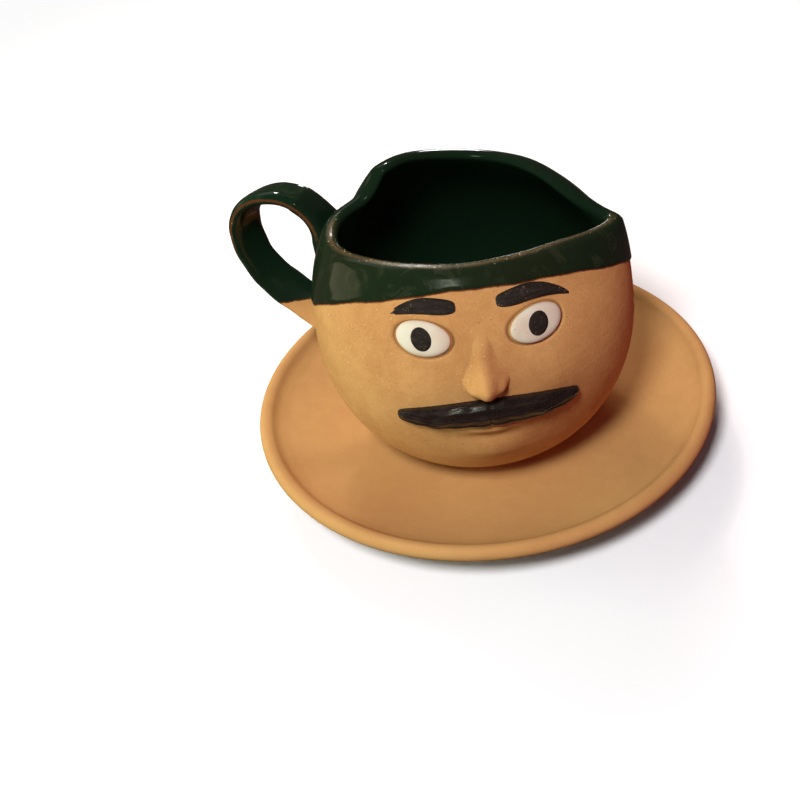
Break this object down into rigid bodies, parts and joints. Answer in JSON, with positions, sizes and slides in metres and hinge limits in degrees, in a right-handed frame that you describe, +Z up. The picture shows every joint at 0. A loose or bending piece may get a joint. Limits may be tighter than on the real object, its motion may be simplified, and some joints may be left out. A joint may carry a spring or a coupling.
{
  "type": "clay cup",
  "caption": "Hand-made ball-shaped clay cup with a modelled face, a dipped dark green glaze and a strap handle, standing on a matching clay saucer with a rolled rim.",
  "frame": {"origin": "on the table under the middle of the saucer", "axes": "+Z up, the modelled face looks along -Y, the handle stands out to the left and back (-X, +Y)"},
  "size_m": [0.13, 0.13, 0.0809],
  "materials": {
    "terracotta": "matte unglazed fired clay",
    "green_glaze": "glossy, breaking to brown on the edges",
    "black_glaze": "brushed, satin to glossy",
    "white_slip": "satin white slip"
  },
  "bodies": {
    "saucer": {"saucer": "terracotta"},
    "cup": {"cup_body": "terracotta", "glaze_coat": "green_glaze", "handle": "green_glaze", "nose": "terracotta", "left_eye": "white_slip", "right_eye": "white_slip", "left_pupil": "black_glaze", "right_pupil": "black_glaze", "left_brow": "black_glaze", "right_brow": "black_glaze", "left_moustache": "black_glaze", "right_moustache": "black_glaze"}
  },
  "joints": [
    {"name": "cup_lift", "type": "slide", "parent": "saucer", "child": "cup", "axis": [0, 0, 1], "range_m": [0, 0.06]}
  ]
}
